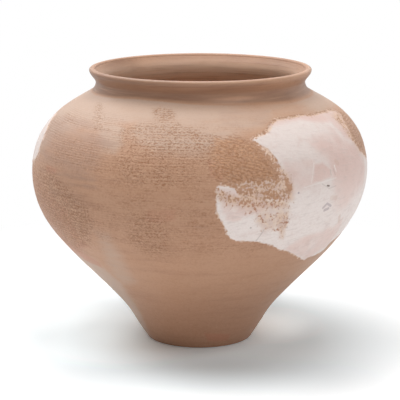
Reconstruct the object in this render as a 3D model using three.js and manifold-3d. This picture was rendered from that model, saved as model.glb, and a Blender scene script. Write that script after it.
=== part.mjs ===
// A wheel-made terracotta vase with a wide mouth, built up in stages: a slab base, three thrown wall
// sections and a collar with a rolled rim, each luted to the one below with a ridge in a groove.
// On its right side a worn area is filled with pink plaster under a thin white skim, and a smaller
// white patch lies round on its left. Millimetres, +Z up, standing on z = 0 with its axis on z.
// Azimuth is 0 at the front, on -Y, and grows towards the right, +X.

import * as THREE from "three";
import { mergeVertices } from "three/addons/utils/BufferGeometryUtils.js";
import { TessellateModifier } from "three/addons/modifiers/TessellateModifier.js";
import Module from "manifold-3d";

const wasm = await Module();
wasm.setup();

// Outside shape, from the base up
const baseRadius = 51.5;
const baseEdgeRadius = 1.5;
const waistHeight = 59; // where the hollow foot turns into the full belly
const waistSpread = 43.3; // how much wider the waist is than the base
const bellyRadius = 160; // the widest line
const bellyRise = 106.5; // widest line above the waist
const neckRootRise = 76; // foot of the neck above the widest line
const neckRadius = 99.7; // the narrowest line of the neck
const neckRootFlare = 3.6; // how much wider the foot of the neck is than its narrowest line
const neckRise = 7.7; // narrowest line above the foot of the neck
const lipRise = 11.4; // widest line of the lip above the narrowest line
const lipOverhang = 6; // how much wider the lip is than the neck
const crestRise = 2.4; // top of the lip above its widest line

// How far the outside leans from upright, in degrees, outwards as it rises
const baseLean = 36;
const waistLean = 43.8;
const shoulderLean = -53.5;

// How far each curve follows its end directions, as a share of the distance between its ends
const footFullness = { low: 0.47, high: 0.71 };
const bellyFullness = { low: 0.33, high: 0.36 };
const shoulderFullness = { low: 0.56, high: 0.19 };
const neckFullness = { low: 0.25, high: 0.35 };
const lipFullness = { low: 0.3, high: 0.3 };
const crestFullness = { low: 0.4, high: 0.45 };

// Walls
const footWall = 11;
const bellyWall = 9;
const lipWall = 6;
const floorThickness = 9;

// Luted joints: a ridge under each section stands in a groove in the one below
const footSeamHeight = 78;
const ridgeWidth = 2.4;
const ridgeDepth = 2;
const ridgePlace = 0.57; // middle of the ridge, as a share of the way through the wall from outside
const lutingClearance = 0.3;

// Plaster
const pinkThickness = 2.2;
const whiteThickness = 0.9;
const leftPatchThickness = 1.6;
const beddingClearance = 0.3;
const leftPatchAzimuth = -102; // middle of the left patch
const plasterRise = 64; // top of the pink plaster above the widest line
const cutterReach = 12; // how far the cutters reach inwards and outwards from the outside

// Mesh fineness
const facetsAround = 48;
const wallFacetLength = 16;
const collarFacetLength = 4;
const roundFacets = 4; // along the base's rounded edge and each side of the lip's crest
const plasterEdgeLength = 12;
const cutterFacetLength = 30;
const cutterDivisions = 16;
const finePointsPerCurve = 80; // on the curves that the facets are picked from

const waistRadius = baseRadius + waistSpread;
const bellyHeight = waistHeight + bellyRise;
const neckRootHeight = bellyHeight + neckRootRise;
const neckHeight = neckRootHeight + neckRise;
const lipHeight = neckHeight + lipRise;
const totalHeight = lipHeight + crestRise;
const lipRadius = neckRadius + lipOverhang;
const crestRadius = lipRadius - lipWall / 2;

// Outlines of the plaster, as [azimuth in degrees, rise], where the rise above the widest line is in
// hundredths of plasterRise
const pinkOutline = [
  [18, 80], [25, 88], [29, 95], [37, 98], [47, 100], [57, 98], [68, 95], [76, 89], [74, 80],
  [70, 64], [70, 52], [73, 39], [79, 27], [86, 14], [94, 2], [98, -19], [95, -42], [87, -62],
  [77, -78], [68, -94], [60, -108], [50, -111], [46, -105], [40, -97], [36, -89], [31, -81],
  [26, -70], [17, -61], [11, -57], [8.5, -42], [6, -25], [5.5, 0], [5.5, 22], [11, 20],
  [13.5, 6], [21, 3], [27, 1], [30.5, 12], [29.5, 28], [26.5, 44], [24, 62],
];
const whiteOutline = [
  [22, 75], [27, 83], [31.5, 89], [40, 91], [51, 90], [57.5, 83], [60, 69], [61, 55],
  [64, 39], [71, 22], [80, 6], [89, -6], [93, -22], [90, -42], [82, -59], [72, -73], [63, -89],
  [59, -86], [55, -67], [50.5, -54], [42, -59], [36, -64], [29.5, -72], [25, -66],
  [17, -57], [12.5, -52], [10.5, -41], [8, -25], [7.5, -8], [12.5, -9], [19, -12],
  [24, -21], [29, -22], [32.5, -9], [33, 12], [31.5, 30], [28.5, 45], [26, 64],
];
// This outline's azimuth counts from the middle of the patch
const leftOutline = [
  [27, 42], [29, 53], [27, 66], [22, 77], [14, 86], [3, 89], [-9, 80], [-17, 64], [-22, 42],
  [-19, 20], [-11, 8], [-3, 14], [8, 6], [18, 11], [25, 23],
];

// A curve between two [radius, height] points that leaves and arrives at the given leans.
function bow(from, fromLean, to, toLean, fullness) {
  const start = new THREE.Vector2(...from);
  const end = new THREE.Vector2(...to);
  const span = start.distanceTo(end);
  const along = (lean) => {
    const angle = THREE.MathUtils.degToRad(lean);
    return new THREE.Vector2(Math.sin(angle), Math.cos(angle));
  };
  return new THREE.CubicBezierCurve(
    start,
    start.clone().addScaledVector(along(fromLean), span * fullness.low),
    end.clone().addScaledVector(along(toLean), -span * fullness.high),
    end,
  );
}

// The outside of the wall from the base's edge up to the lip's widest line.
function outsideCurve() {
  const base = [baseRadius, baseEdgeRadius];
  const waist = [waistRadius, waistHeight];
  const belly = [bellyRadius, bellyHeight];
  const neckRoot = [neckRadius + neckRootFlare, neckRootHeight];
  const neck = [neckRadius, neckHeight];
  const lip = [lipRadius, lipHeight];
  const curve = new THREE.CurvePath();
  curve.add(bow(base, baseLean, waist, waistLean, footFullness));
  curve.add(bow(waist, waistLean, belly, 0, bellyFullness));
  curve.add(bow(belly, 0, neckRoot, shoulderLean, shoulderFullness));
  curve.add(bow(neckRoot, shoulderLean, neck, 0, neckFullness));
  curve.add(bow(neck, 0, lip, 0, lipFullness));
  return curve;
}

// Points of a line of [x = radius, y = height] points, each with its outward normal.
function withNormals(points) {
  return points.map((point, i) => {
    const before = points[Math.max(i - 1, 0)];
    const after = points[Math.min(i + 1, points.length - 1)];
    const along = after.clone().sub(before).normalize();
    return { point, normal: new THREE.Vector2(along.y, -along.x) };
  });
}

const outside = withNormals(outsideCurve().getPoints(finePointsPerCurve));
const outsideLine = outside.map(({ point }) => point);

function wallAt(height) {
  return height < bellyHeight
    ? THREE.MathUtils.mapLinear(height, 0, bellyHeight, footWall, bellyWall)
    : THREE.MathUtils.mapLinear(height, bellyHeight, lipHeight, bellyWall, lipWall);
}

const insideLine = outside.map(({ point, normal }) =>
  point.clone().addScaledVector(normal, -wallAt(point.y)),
);

// The index and share along a rising line of points at which it passes a height.
function placeOn(line, height) {
  const next = line.findIndex((point) => point.y >= height);
  const i = next < 0 ? line.length - 1 : Math.max(next, 1);
  const share = (height - line[i - 1].y) / (line[i].y - line[i - 1].y);
  return { i, share: THREE.MathUtils.clamp(share, 0, 1) };
}

function pointOn(line, height) {
  const { i, share } = placeOn(line, height);
  const point = line[i - 1].clone().lerp(line[i], share);
  return new THREE.Vector2(point.x, height);
}

// A stretch of a line between two heights, in steps of even length.
function stretch(line, low, high, step) {
  const between = line.filter((point) => point.y > low && point.y < high);
  const all = [pointOn(line, low), ...between, pointOn(line, high)];
  const reached = [0];
  for (let i = 1; i < all.length; i++) {
    reached.push(reached[i - 1] + all[i].distanceTo(all[i - 1]));
  }
  const length = reached.at(-1);
  const steps = Math.max(1, Math.ceil(length / step));
  const points = [all[0]];
  for (let n = 1; n < steps; n++) {
    const target = (length * n) / steps;
    const i = reached.findIndex((distance) => distance >= target);
    const share = (target - reached[i - 1]) / (reached[i] - reached[i - 1]);
    points.push(all[i - 1].clone().lerp(all[i], share));
  }
  points.push(all.at(-1));
  return points;
}

// The radius of the middle of a joint's ridge and groove.
function jointRadius(height) {
  const outer = pointOn(outsideLine, height).x;
  const inner = pointOn(insideLine, height).x;
  return THREE.MathUtils.lerp(outer, inner, ridgePlace);
}

// The groove in a section's top face, from its outer corner to its inner one.
function groove(height) {
  const half = ridgeWidth / 2 + lutingClearance;
  const floor = height - ridgeDepth - lutingClearance;
  const middle = jointRadius(height);
  return [
    new THREE.Vector2(middle + half, height),
    new THREE.Vector2(middle + half, floor),
    new THREE.Vector2(middle - half, floor),
    new THREE.Vector2(middle - half, height),
  ];
}

// The ridge under a section's bottom face, from its inner corner to its outer one.
function ridge(height) {
  const half = ridgeWidth / 2;
  const tip = height - ridgeDepth;
  const middle = jointRadius(height);
  return [
    new THREE.Vector2(middle - half, height),
    new THREE.Vector2(middle - half, tip),
    new THREE.Vector2(middle + half, tip),
    new THREE.Vector2(middle + half, height),
  ];
}

// Only positions are kept, and corners in the same place become one.
function bare(geometry) {
  const plain = geometry.clone();
  for (const name of Object.keys(plain.attributes)) {
    if (name !== "position") plain.deleteAttribute(name);
  }
  return mergeVertices(plain, 1e-3);
}

// A body turned from an outline of [radius, height] points, listed upwards on its outside.
function turned(points) {
  const geometry = new THREE.LatheGeometry(points, facetsAround);
  geometry.rotateX(Math.PI / 2);
  return bare(geometry);
}

function solid(geometry) {
  return new wasm.Manifold(
    new wasm.Mesh({
      numProp: 3,
      vertProperties: new Float32Array(geometry.getAttribute("position").array),
      triVerts: new Uint32Array(geometry.index.array),
    }),
  );
}

function geometryOf(body) {
  const mesh = body.getMesh();
  const geometry = new THREE.BufferGeometry();
  geometry.setAttribute("position", new THREE.BufferAttribute(mesh.vertProperties, 3));
  geometry.setIndex(new THREE.BufferAttribute(mesh.triVerts, 1));
  return geometry;
}

function baseDisc() {
  const roundedEdge = new THREE.Path().absarc(
    baseRadius - baseEdgeRadius, baseEdgeRadius, baseEdgeRadius, -Math.PI / 2, 0,
  );
  return turned([
    new THREE.Vector2(0, 0),
    ...roundedEdge.getPoints(roundFacets),
    ...stretch(outsideLine, baseEdgeRadius, floorThickness, wallFacetLength).slice(1),
    ...groove(floorThickness),
    new THREE.Vector2(0, floorThickness),
  ]);
}

// A ring of wall between two seams, with a ridge below and a groove above.
function wallSection(low, high) {
  const outer = stretch(outsideLine, low, high, wallFacetLength);
  const inner = stretch(insideLine, low, high, wallFacetLength).reverse();
  return turned([...outer, ...groove(high), ...inner, ...ridge(low), outer[0]]);
}

function neckAndRim() {
  const low = neckRootHeight;
  const crest = [crestRadius, totalHeight];
  const outerLip = [lipRadius, lipHeight];
  const innerLip = [lipRadius - lipWall, lipHeight];
  const overLip = bow(outerLip, 0, crest, -90, crestFullness).getPoints(roundFacets);
  const downInside = bow(crest, -90, innerLip, 180, crestFullness).getPoints(roundFacets);
  const outer = stretch(outsideLine, low, lipHeight, collarFacetLength);
  const inner = stretch(insideLine, low, lipHeight, collarFacetLength).reverse();
  return turned([
    ...outer,
    ...overLip.slice(1),
    ...downInside.slice(1),
    ...inner.slice(1),
    ...ridge(low),
    outer[0],
  ]);
}

function normalAt(height) {
  const { i, share } = placeOn(outsideLine, height);
  return outside[i - 1].normal.clone().lerp(outside[i].normal, share).normalize();
}

// The solid between two distances from the outside, over the belly and the shoulder, with the same
// facets as those two sections.
function skin(inner, outer) {
  const line = [
    ...stretch(outsideLine, footSeamHeight, bellyHeight, wallFacetLength),
    ...stretch(outsideLine, bellyHeight, neckRootHeight, wallFacetLength).slice(1),
  ];
  const at = (distance) =>
    line.map((point) => point.clone().addScaledVector(normalAt(point.y), distance));
  const outerLine = at(outer);
  return solid(turned([...outerLine, ...at(inner).reverse(), outerLine[0]]));
}

// An outline unrolled at the widest line, with x running round the vase and y the height, and its
// sides divided into short steps.
function unrolled(outline, middleAzimuth = 0) {
  const corners = outline.map(([azimuth, rise]) => new THREE.Vector2(
    THREE.MathUtils.degToRad(azimuth + middleAzimuth) * bellyRadius,
    bellyHeight + (rise / 100) * plasterRise,
  ));
  return corners.flatMap((corner, i) => {
    const next = corners[(i + 1) % corners.length];
    const steps = Math.ceil(corner.distanceTo(next) / plasterEdgeLength);
    return Array.from({ length: steps }, (_, n) => corner.clone().lerp(next, n / steps));
  });
}

// The same outline with every side moved outwards by a distance, and its corners kept sharp.
function grown(points, distance) {
  const outwards = THREE.ShapeUtils.isClockWise(points) ? -1 : 1;
  const normals = points.map((point, i) => {
    const along = points[(i + 1) % points.length].clone().sub(point).normalize();
    return new THREE.Vector2(along.y, -along.x).multiplyScalar(outwards);
  });
  return points.map((point, i) => {
    const before = normals.at(i - 1);
    const corner = before.clone().add(normals[i]).divideScalar(1 + before.dot(normals[i]));
    return point.clone().addScaledVector(corner, distance);
  });
}

// A plug with that outline, bent round the vase, which passes square through its outside.
function plug(points) {
  const flat = new THREE.ExtrudeGeometry(new THREE.Shape(points), {
    depth: 1,
    bevelEnabled: false,
  });
  flat.deleteAttribute("normal");
  flat.deleteAttribute("uv");
  const fine = new TessellateModifier(cutterFacetLength, cutterDivisions).modify(flat);
  const position = fine.getAttribute("position");
  for (let i = 0; i < position.count; i++) {
    const azimuth = position.getX(i) / bellyRadius;
    const height = position.getY(i);
    const offset = THREE.MathUtils.lerp(-cutterReach, cutterReach, position.getZ(i));
    const normal = normalAt(height);
    const radius = pointOn(outsideLine, height).x + offset * normal.x;
    position.setXYZ(
      i,
      radius * Math.sin(azimuth),
      -radius * Math.cos(azimuth),
      height + offset * normal.y,
    );
  }
  return solid(bare(fine));
}

// A layer of plaster with that outline, flush with the outside.
function layer(points, thickness) {
  return skin(-thickness, 0).intersect(plug(points));
}

// The recess that a layer lies in, with room under it and all round it.
function recess(points, thickness) {
  const open = skin(-thickness - beddingClearance, cutterReach / 2);
  return open.intersect(plug(grown(points, beddingClearance)));
}

const pinkPoints = unrolled(pinkOutline);
const whitePoints = unrolled(whiteOutline);
const leftPoints = unrolled(leftOutline, leftPatchAzimuth);
const pinkRecess = recess(pinkPoints, pinkThickness);
const whiteRecess = recess(whitePoints, whiteThickness);
const leftRecess = recess(leftPoints, leftPatchThickness);

function recessed(section) {
  return geometryOf(solid(section).subtract(pinkRecess).subtract(leftRecess));
}

const clay = { color: 0xb18a6e, roughness: 0.85, metalness: 0, flatShading: true };
const pinkPlaster = { color: 0xdcbfb4, roughness: 0.9, metalness: 0, flatShading: true };
const whitePlaster = { color: 0xe2d9d2, roughness: 0.9, metalness: 0, flatShading: true };

const vase = new THREE.Group();

function add(name, geometry, look) {
  const mesh = new THREE.Mesh(geometry, new THREE.MeshStandardMaterial(look));
  mesh.name = name;
  vase.add(mesh);
}

add("base_disc", baseDisc(), clay);
add("foot_wall", wallSection(floorThickness, footSeamHeight), clay);
add("belly_wall", recessed(wallSection(footSeamHeight, bellyHeight)), clay);
add("shoulder_wall", recessed(wallSection(bellyHeight, neckRootHeight)), clay);
add("neck_and_rim", neckAndRim(), clay);
add(
  "pink_plaster_fill",
  geometryOf(layer(pinkPoints, pinkThickness).subtract(whiteRecess)),
  pinkPlaster,
);
add("white_plaster_skim", geometryOf(layer(whitePoints, whiteThickness)), whitePlaster);
add("left_plaster_patch", geometryOf(layer(leftPoints, leftPatchThickness)), whitePlaster);

export default vase;
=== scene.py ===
"""The finish of a worn terracotta vase: fired clay with fine throwing lines, rough orange patches where
its surface has gone, and a pink plaster fill with a thin white coat over its worn right side.

Lengths are in millimetres, and MM turns them into Blender's metres. A place on the wall is given by its
azimuth in degrees, 0 at the front and growing towards the right, and its height, or on the map of the
wall: u runs round the vase at MAP_RADIUS, and v is the distance up the outside from the base's edge.
"""

import itertools
import math

import bpy
import numpy as np
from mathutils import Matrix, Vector
from mathutils.geometry import delaunay_2d_cdt


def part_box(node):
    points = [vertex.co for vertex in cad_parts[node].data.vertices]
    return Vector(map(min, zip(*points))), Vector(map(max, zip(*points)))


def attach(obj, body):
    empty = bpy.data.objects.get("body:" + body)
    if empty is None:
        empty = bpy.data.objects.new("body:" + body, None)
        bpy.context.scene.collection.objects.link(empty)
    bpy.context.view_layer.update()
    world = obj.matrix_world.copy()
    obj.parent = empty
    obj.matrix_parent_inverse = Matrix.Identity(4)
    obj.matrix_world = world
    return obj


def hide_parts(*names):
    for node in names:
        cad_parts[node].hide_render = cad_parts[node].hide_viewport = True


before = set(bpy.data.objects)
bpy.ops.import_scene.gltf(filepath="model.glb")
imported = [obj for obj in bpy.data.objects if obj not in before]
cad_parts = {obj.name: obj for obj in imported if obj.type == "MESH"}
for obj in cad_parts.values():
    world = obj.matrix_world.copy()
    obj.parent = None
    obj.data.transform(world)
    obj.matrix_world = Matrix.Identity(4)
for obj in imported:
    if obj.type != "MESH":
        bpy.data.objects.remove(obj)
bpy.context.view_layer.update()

MM = 0.001


def in_metres(point):
    return Vector(point) * MM


def spun(azimuth, radius, height):
    """The place at that azimuth, in radians, that far from the vase's axis."""
    return np.stack([radius * np.sin(azimuth), -radius * np.cos(azimuth), height], axis=-1)


def srgb(red, green, blue):
    """A colour as seen on a screen, 0 to 255 each, as Blender's linear RGBA."""
    def linear(value):
        value = value / 255
        return value / 12.92 if value <= 0.04045 else ((value + 0.055) / 1.055) ** 2.4
    return (linear(red), linear(green), linear(blue), 1)


def grey(value):
    return (value, value, value, 1)


# Nodes

class Output:
    """A node's output. Adding, subtracting or multiplying it adds a node."""

    def __init__(self, nodes, socket):
        self.nodes = nodes
        self.socket = socket

    def beside(self, name):
        """Another output of the same node."""
        return Output(self.nodes, self.socket.node.outputs[name])

    def __add__(self, other):
        return self.nodes.math("ADD", self, other)

    def __sub__(self, other):
        return self.nodes.math("SUBTRACT", self, other)

    def __rsub__(self, other):
        return self.nodes.math("SUBTRACT", other, self)

    def __mul__(self, other):
        return self.nodes.math("MULTIPLY", self, other)

    __radd__ = __add__
    __rmul__ = __mul__


class Nodes:
    """A material's or world's node tree. Most calls add a node and give back its output."""

    def __init__(self, tree):
        self.tree = tree
        self.tree.nodes.clear()

    def node(self, kind, inputs=(), **settings):
        node = self.tree.nodes.new(kind)
        for name, value in settings.items():
            setattr(node, name, value)
        for name, value in dict(inputs).items():
            if isinstance(value, Output):
                self.tree.links.new(value.socket, node.inputs[name])
            else:
                node.inputs[name].default_value = value
        return node

    def add(self, kind, inputs=(), output=0, **settings):
        return Output(self, self.node(kind, inputs, **settings).outputs[output])

    def math(self, operation, *values):
        return self.add("ShaderNodeMath", enumerate(values), operation=operation)

    def most(self, value, *others):
        for other in others:
            value = self.math("MAXIMUM", value, other)
        return value

    def vector(self, operation, *vectors):
        output = "Value" if operation in ("LENGTH", "DISTANCE", "DOT_PRODUCT") else "Vector"
        return self.add("ShaderNodeVectorMath", enumerate(vectors), output, operation=operation)

    def scaled(self, vector, *shares):
        """A vector with each part multiplied."""
        return self.vector("MULTIPLY", vector, shares)

    def part(self, vector, index):
        return self.add("ShaderNodeSeparateXYZ", {0: vector}, index)

    def turned(self, vector, degrees, length, width):
        """Map places as measured along and across a direction, in steps of that length and width."""
        turn = (0, 0, math.radians(degrees))
        inputs = {"Vector": vector, "Rotation": turn, "Scale": (length, width, 1)}
        return self.add("ShaderNodeMapping", inputs, vector_type="TEXTURE")

    def fade(self, value, low, high, at_low=0.0, at_high=1.0):
        """A smooth step from at_low to at_high as value goes from low to high."""
        inputs = {"Value": value, 1: low, 2: high, 3: at_low, 4: at_high}
        return self.add("ShaderNodeMapRange", inputs, interpolation_type="SMOOTHSTEP")

    def mix(self, factor, a, b, blend="MIX"):
        inputs = {0: factor, 6: a, 7: b}
        return self.add("ShaderNodeMix", inputs, 2, data_type="RGBA", blend_type=blend)

    def attribute(self, name):
        return self.add("ShaderNodeAttribute", output="Fac", attribute_name=name)

    def noise(self, vector, name):
        """Noise about 0 to 1, as NOISES describes it."""
        size, detail, roughness = NOISES[name]
        inputs = {"Vector": vector, "Scale": 1 / size, "Detail": detail, "Roughness": roughness}
        return self.add("ShaderNodeTexNoise", inputs)

    def shaken(self, value, noise, name):
        """The value with noise added, which moves it by up to about half of SHAKES either way."""
        return value + (noise - 0.5) * SHAKES[name]

    def shown(self, value, name):
        """The value faded as FADES says."""
        return self.fade(value, *FADES[name])

    def zone(self, name, noise):
        """An attribute whose edge is roughened by noise."""
        return self.shown(self.shaken(self.attribute(name), noise, name), name)

    def finish(self, shader, kind="ShaderNodeOutputMaterial"):
        self.node(kind, {"Surface": shader})


def new_material(name):
    material = bpy.data.materials.new(name)
    material.use_nodes = True
    return material, Nodes(material.node_tree)


# Camera, stage and lamps

CAMERA_PLACE = (0, -1564.7, 467.3)
CAMERA_AIM = (0, 0, 133.2)
CAMERA_LENS = 149.0
SENSOR_WIDTH = 36

FLOOR_SIZE = 12000
WHITE = grey(1)
FLOOR = grey(0.88)
FLOOR_SEEN = grey(1.06)  # to the camera, so that only the shadow is grey
SHADOW_SEEN = (0.94, 1.06, 1.11, 1)  # close to the vase, where its clay would tint the shadow
SHADOW_TONES = [  # centre of each lighter or darker stretch of the shadow, its reach and its tone
    ((-78, -45), 85, 1.42),
    ((-92, 40), 85, 1.2),
    ((55, 28), 78, 1.75),
    ((20, -125), 90, 0.82),
    ((-110, -130), 120, 0.87),
    ((115, -150), 95, 0.86),
]
TINTED = (80, 280)  # distances from the middle between which SHADOW_SEEN gives way to FLOOR_SEEN
WHITE_BEYOND = (230, 520)  # distances between which the floor turns into the plain white background
WORLD_LIGHT = 0.3

LAMP_AIM = (0, 0, 130)
LAMPS = {  # azimuth and elevation in degrees, distance from the aim, side of the square and watts
    "overhead": (0, 90, 3470, 2400, 58),
    "overhead, left": (-90, 64, 3640, 1800, 40),
    "behind, left": (-135, 45, 3600, 1800, 27),
    "behind": (180, 45, 3600, 1800, 13.6),
    "in front, right": (42, 48, 3200, 900, 20),
    "behind, right, low": (128, 18, 3600, 1500, 4.6),
}


def aimed(thing, aim):
    """Turns a camera or lamp to look at that place, and puts it in the scene."""
    thing.rotation_euler = (in_metres(aim) - thing.location).to_track_quat("-Z", "Y").to_euler()
    bpy.context.scene.collection.objects.link(thing)


def make_camera():
    data = bpy.data.cameras.new("camera")
    data.lens = CAMERA_LENS
    data.sensor_width = SENSOR_WIDTH
    camera = bpy.data.objects.new("camera", data)
    camera.location = in_metres(CAMERA_PLACE)
    aimed(camera, CAMERA_AIM)
    bpy.context.scene.camera = camera


def make_lamps():
    for name, (azimuth, elevation, distance, side, watts) in LAMPS.items():
        data = bpy.data.lights.new(name, "AREA")
        data.shape = "SQUARE"
        data.size = side * MM
        data.energy = watts
        lamp = bpy.data.objects.new(name, data)
        turn = math.radians(azimuth)
        rise = math.radians(elevation)
        height = distance * math.sin(rise) + LAMP_AIM[2]
        lamp.location = in_metres(spun(turn, distance * math.cos(rise), height))
        aimed(lamp, LAMP_AIM)


def background_ray(nodes):
    """1 for a ray that shows the background itself, to the camera or in a gloss or glass."""
    rays = ("Is Camera Ray", "Is Glossy Ray", "Is Transmission Ray")
    return nodes.most(*[nodes.add("ShaderNodeLightPath", output=ray) for ray in rays])


def make_stage():
    half = FLOOR_SIZE / 2 * MM
    mesh = bpy.data.meshes.new("floor")
    corners = [(-half, -half, 0), (half, -half, 0), (half, half, 0), (-half, half, 0)]
    mesh.from_pydata(corners, [], [(0, 1, 2, 3)])
    floor = bpy.data.objects.new("floor", mesh)
    bpy.context.scene.collection.objects.link(floor)

    material, nodes = new_material("floor")
    seen = background_ray(nodes)
    place = nodes.add("ShaderNodeTexCoord", output="Object")
    away = nodes.vector("LENGTH", place)
    far = nodes.fade(away, TINTED[0] * MM, TINTED[1] * MM)
    tone = nodes.mix(far, SHADOW_SEEN, FLOOR_SEEN)
    for centre, reach, shade in SHADOW_TONES:
        apart = nodes.vector("DISTANCE", place, in_metres((*centre, 0)))
        tone = nodes.mix(nodes.fade(apart, reach * MM, 0.0), tone, grey(shade), "MULTIPLY")
    matt = nodes.add("ShaderNodeBsdfDiffuse", {"Color": nodes.mix(seen, FLOOR, tone)})
    glow = nodes.add("ShaderNodeEmission", {"Color": WHITE, "Strength": 1.0})
    beyond = nodes.fade(away, WHITE_BEYOND[0] * MM, WHITE_BEYOND[1] * MM)
    nodes.finish(nodes.add("ShaderNodeMixShader", {0: seen * beyond, 1: matt, 2: glow}))
    mesh.materials.append(material)

    world = bpy.data.worlds.new("world")
    bpy.context.scene.world = world
    world.use_nodes = True
    nodes = Nodes(world.node_tree)
    strength = nodes.fade(background_ray(nodes), 0.0, 1.0, WORLD_LIGHT, 1.0)
    sky = nodes.add("ShaderNodeBackground", {"Color": WHITE, "Strength": strength})
    nodes.finish(sky, "ShaderNodeOutputWorld")


make_camera()
make_stage()
make_lamps()
bpy.context.scene.view_settings.view_transform = "Standard"


# Noise for the meshes

LATTICE_PRIMES = (73856093, 19349663, 83492791)
SEED_PRIME = 2654435761
MIXING_PRIME = 1274126177


def lattice_value(corner, seed):
    """A fixed value from -1 to 1 for each point with whole coordinates."""
    x, y, z = np.moveaxis(corner * LATTICE_PRIMES, -1, 0)
    mixed = x ^ y ^ z ^ (seed + 1) * SEED_PRIME
    mixed = (mixed ^ (mixed >> 13)) * MIXING_PRIME & 0xFFFFFFFF
    mixed = (mixed ^ (mixed >> 16)) & 0xFFFF
    return mixed / 0x7FFF - 1


def value_noise(points, size, seed):
    """Smooth noise from -1 to 1 with features about size across, for an array of (x, y, z)."""
    scaled = np.asarray(points) / size
    corner = np.floor(scaled).astype(np.int64)
    share = scaled - corner
    share = share * share * (3 - 2 * share)
    total = np.zeros(scaled.shape[:-1])
    for step in itertools.product((0, 1), repeat=3):
        weight = np.where(step, share, 1 - share).prod(axis=-1)
        total += weight * lattice_value(corner + step, seed)
    return total


def smooth_step(value, low, high):
    share = np.clip((value - low) / (high - low), 0, 1)
    return share * share * (3 - 2 * share)


# The outline of the wall

FLOOR_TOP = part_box("base_disc")[1][2] / MM
FOOT_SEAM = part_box("foot_wall")[1][2] / MM
BELLY_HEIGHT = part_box("belly_wall")[1][2] / MM
NECK_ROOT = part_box("shoulder_wall")[1][2] / MM
TOTAL_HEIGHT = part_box("neck_and_rim")[1][2] / MM
BELLY_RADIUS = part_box("belly_wall")[1][1] / MM
LIP_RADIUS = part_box("neck_and_rim")[1][0] / MM

BASE_RADIUS = 51.5
BASE_EDGE_RADIUS = 1.5
WAIST = (94.8, 59)
NECK_RADIUS = 99.7
NECK_ROOT_FLARE = 3.6
NECK_RISE = 7.7
CREST_RISE = 2.4
FOOT_WALL = 11
BELLY_WALL = 9
LIP_WALL = 6

BASE_LEAN = 36  # degrees outwards from upright, going up
WAIST_LEAN = 43.8
SHOULDER_LEAN = -53.5
CREST_LEAN = -90
# How far each curve up the outside keeps to the leans at its two ends, as shares of its length
FULLNESS = ((0.47, 0.71), (0.33, 0.36), (0.56, 0.19), (0.25, 0.35), (0.3, 0.3), (0.4, 0.45))

NECK_HEIGHT = NECK_ROOT + NECK_RISE
LIP_HEIGHT = TOTAL_HEIGHT - CREST_RISE
CREST = (LIP_RADIUS - LIP_WALL / 2, TOTAL_HEIGHT)
SAME_POINT = 1e-6  # distance within which a line's points are one


def bow(start, start_lean, end, end_lean, fullness, steps=80):
    """A curve that leaves and arrives leaning by those degrees from upright."""
    start = np.array(start, float)
    end = np.array(end, float)
    span = np.linalg.norm(end - start)
    leans = np.radians([start_lean, end_lean])
    ways = np.stack([np.sin(leans), np.cos(leans)], axis=1)
    first = start + ways[0] * span * fullness[0]
    second = end - ways[1] * span * fullness[1]
    t = np.linspace(0, 1, steps)[:, None]
    ends = (1 - t) ** 3 * start + t**3 * end
    return ends + 3 * (1 - t) ** 2 * t * first + 3 * (1 - t) * t**2 * second


class Line:
    """A line of [radius, height] points, with the distance along it and its normal on the left."""

    def __init__(self, points):
        apart = np.linalg.norm(np.diff(points, axis=0), axis=1)
        keep = np.concatenate([[True], apart > SAME_POINT])
        self.points = np.array(points)[keep]
        apart = np.linalg.norm(np.diff(self.points, axis=0), axis=1)
        self.reached = np.concatenate([[0], np.cumsum(apart)])
        along = np.gradient(self.points, self.reached, axis=0)
        along /= np.linalg.norm(along, axis=1)[:, None]
        self.normals = np.stack([along[:, 1], -along[:, 0]], axis=1)

    def at(self, distance):
        """The points and normals at those distances along the line."""
        point = [np.interp(distance, self.reached, self.points[:, i]) for i in (0, 1)]
        normal = [np.interp(distance, self.reached, self.normals[:, i]) for i in (0, 1)]
        normal = np.stack(normal, axis=-1)
        return np.stack(point, axis=-1), normal / np.linalg.norm(normal, axis=-1)[..., None]

    def distance_at(self, height):
        """How far along a line that rises all the way those heights are."""
        return np.interp(height, self.points[:, 1], self.reached)


def outside_points():
    """From under the base's edge up to the lip's crest."""
    edge = np.radians(np.linspace(-90, 0, 8))
    middle = BASE_RADIUS - BASE_EDGE_RADIUS
    rounded = [
        (middle + BASE_EDGE_RADIUS * math.cos(a), BASE_EDGE_RADIUS * (1 + math.sin(a))) for a in edge
    ]
    stops = [
        (rounded[-1], BASE_LEAN),
        (WAIST, WAIST_LEAN),
        ((BELLY_RADIUS, BELLY_HEIGHT), 0),
        ((NECK_RADIUS + NECK_ROOT_FLARE, NECK_ROOT), SHOULDER_LEAN),
        ((NECK_RADIUS, NECK_HEIGHT), 0),
        ((LIP_RADIUS, LIP_HEIGHT), 0),
        (CREST, CREST_LEAN),
    ]
    curves = [bow(*start, *end, full) for start, end, full in zip(stops, stops[1:], FULLNESS)]
    return np.concatenate([rounded, *curves])


def inside_points(outside):
    """From the lip's crest down the inside to just under the base's top."""
    inner_lip = (LIP_RADIUS - LIP_WALL, LIP_HEIGHT)
    low = outside.points[:, 1] <= LIP_HEIGHT
    points = outside.points[low]
    wall = np.interp(points[:, 1], [0, BELLY_HEIGHT, LIP_HEIGHT], [FOOT_WALL, BELLY_WALL, LIP_WALL])
    inner = points - outside.normals[low] * wall[:, None]
    inner = inner[inner[:, 1] > FLOOR_TOP - 1][::-1]
    return np.concatenate([bow(CREST, CREST_LEAN, inner_lip, 180, FULLNESS[-1]), inner[1:]])


outside = Line(outside_points())
inside = Line(inside_points(outside))

MAP_RADIUS = 150.0
MAP_START = -135  # azimuth of the map's left edge, which no zone crosses
TURN = math.tau * MAP_RADIUS

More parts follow.
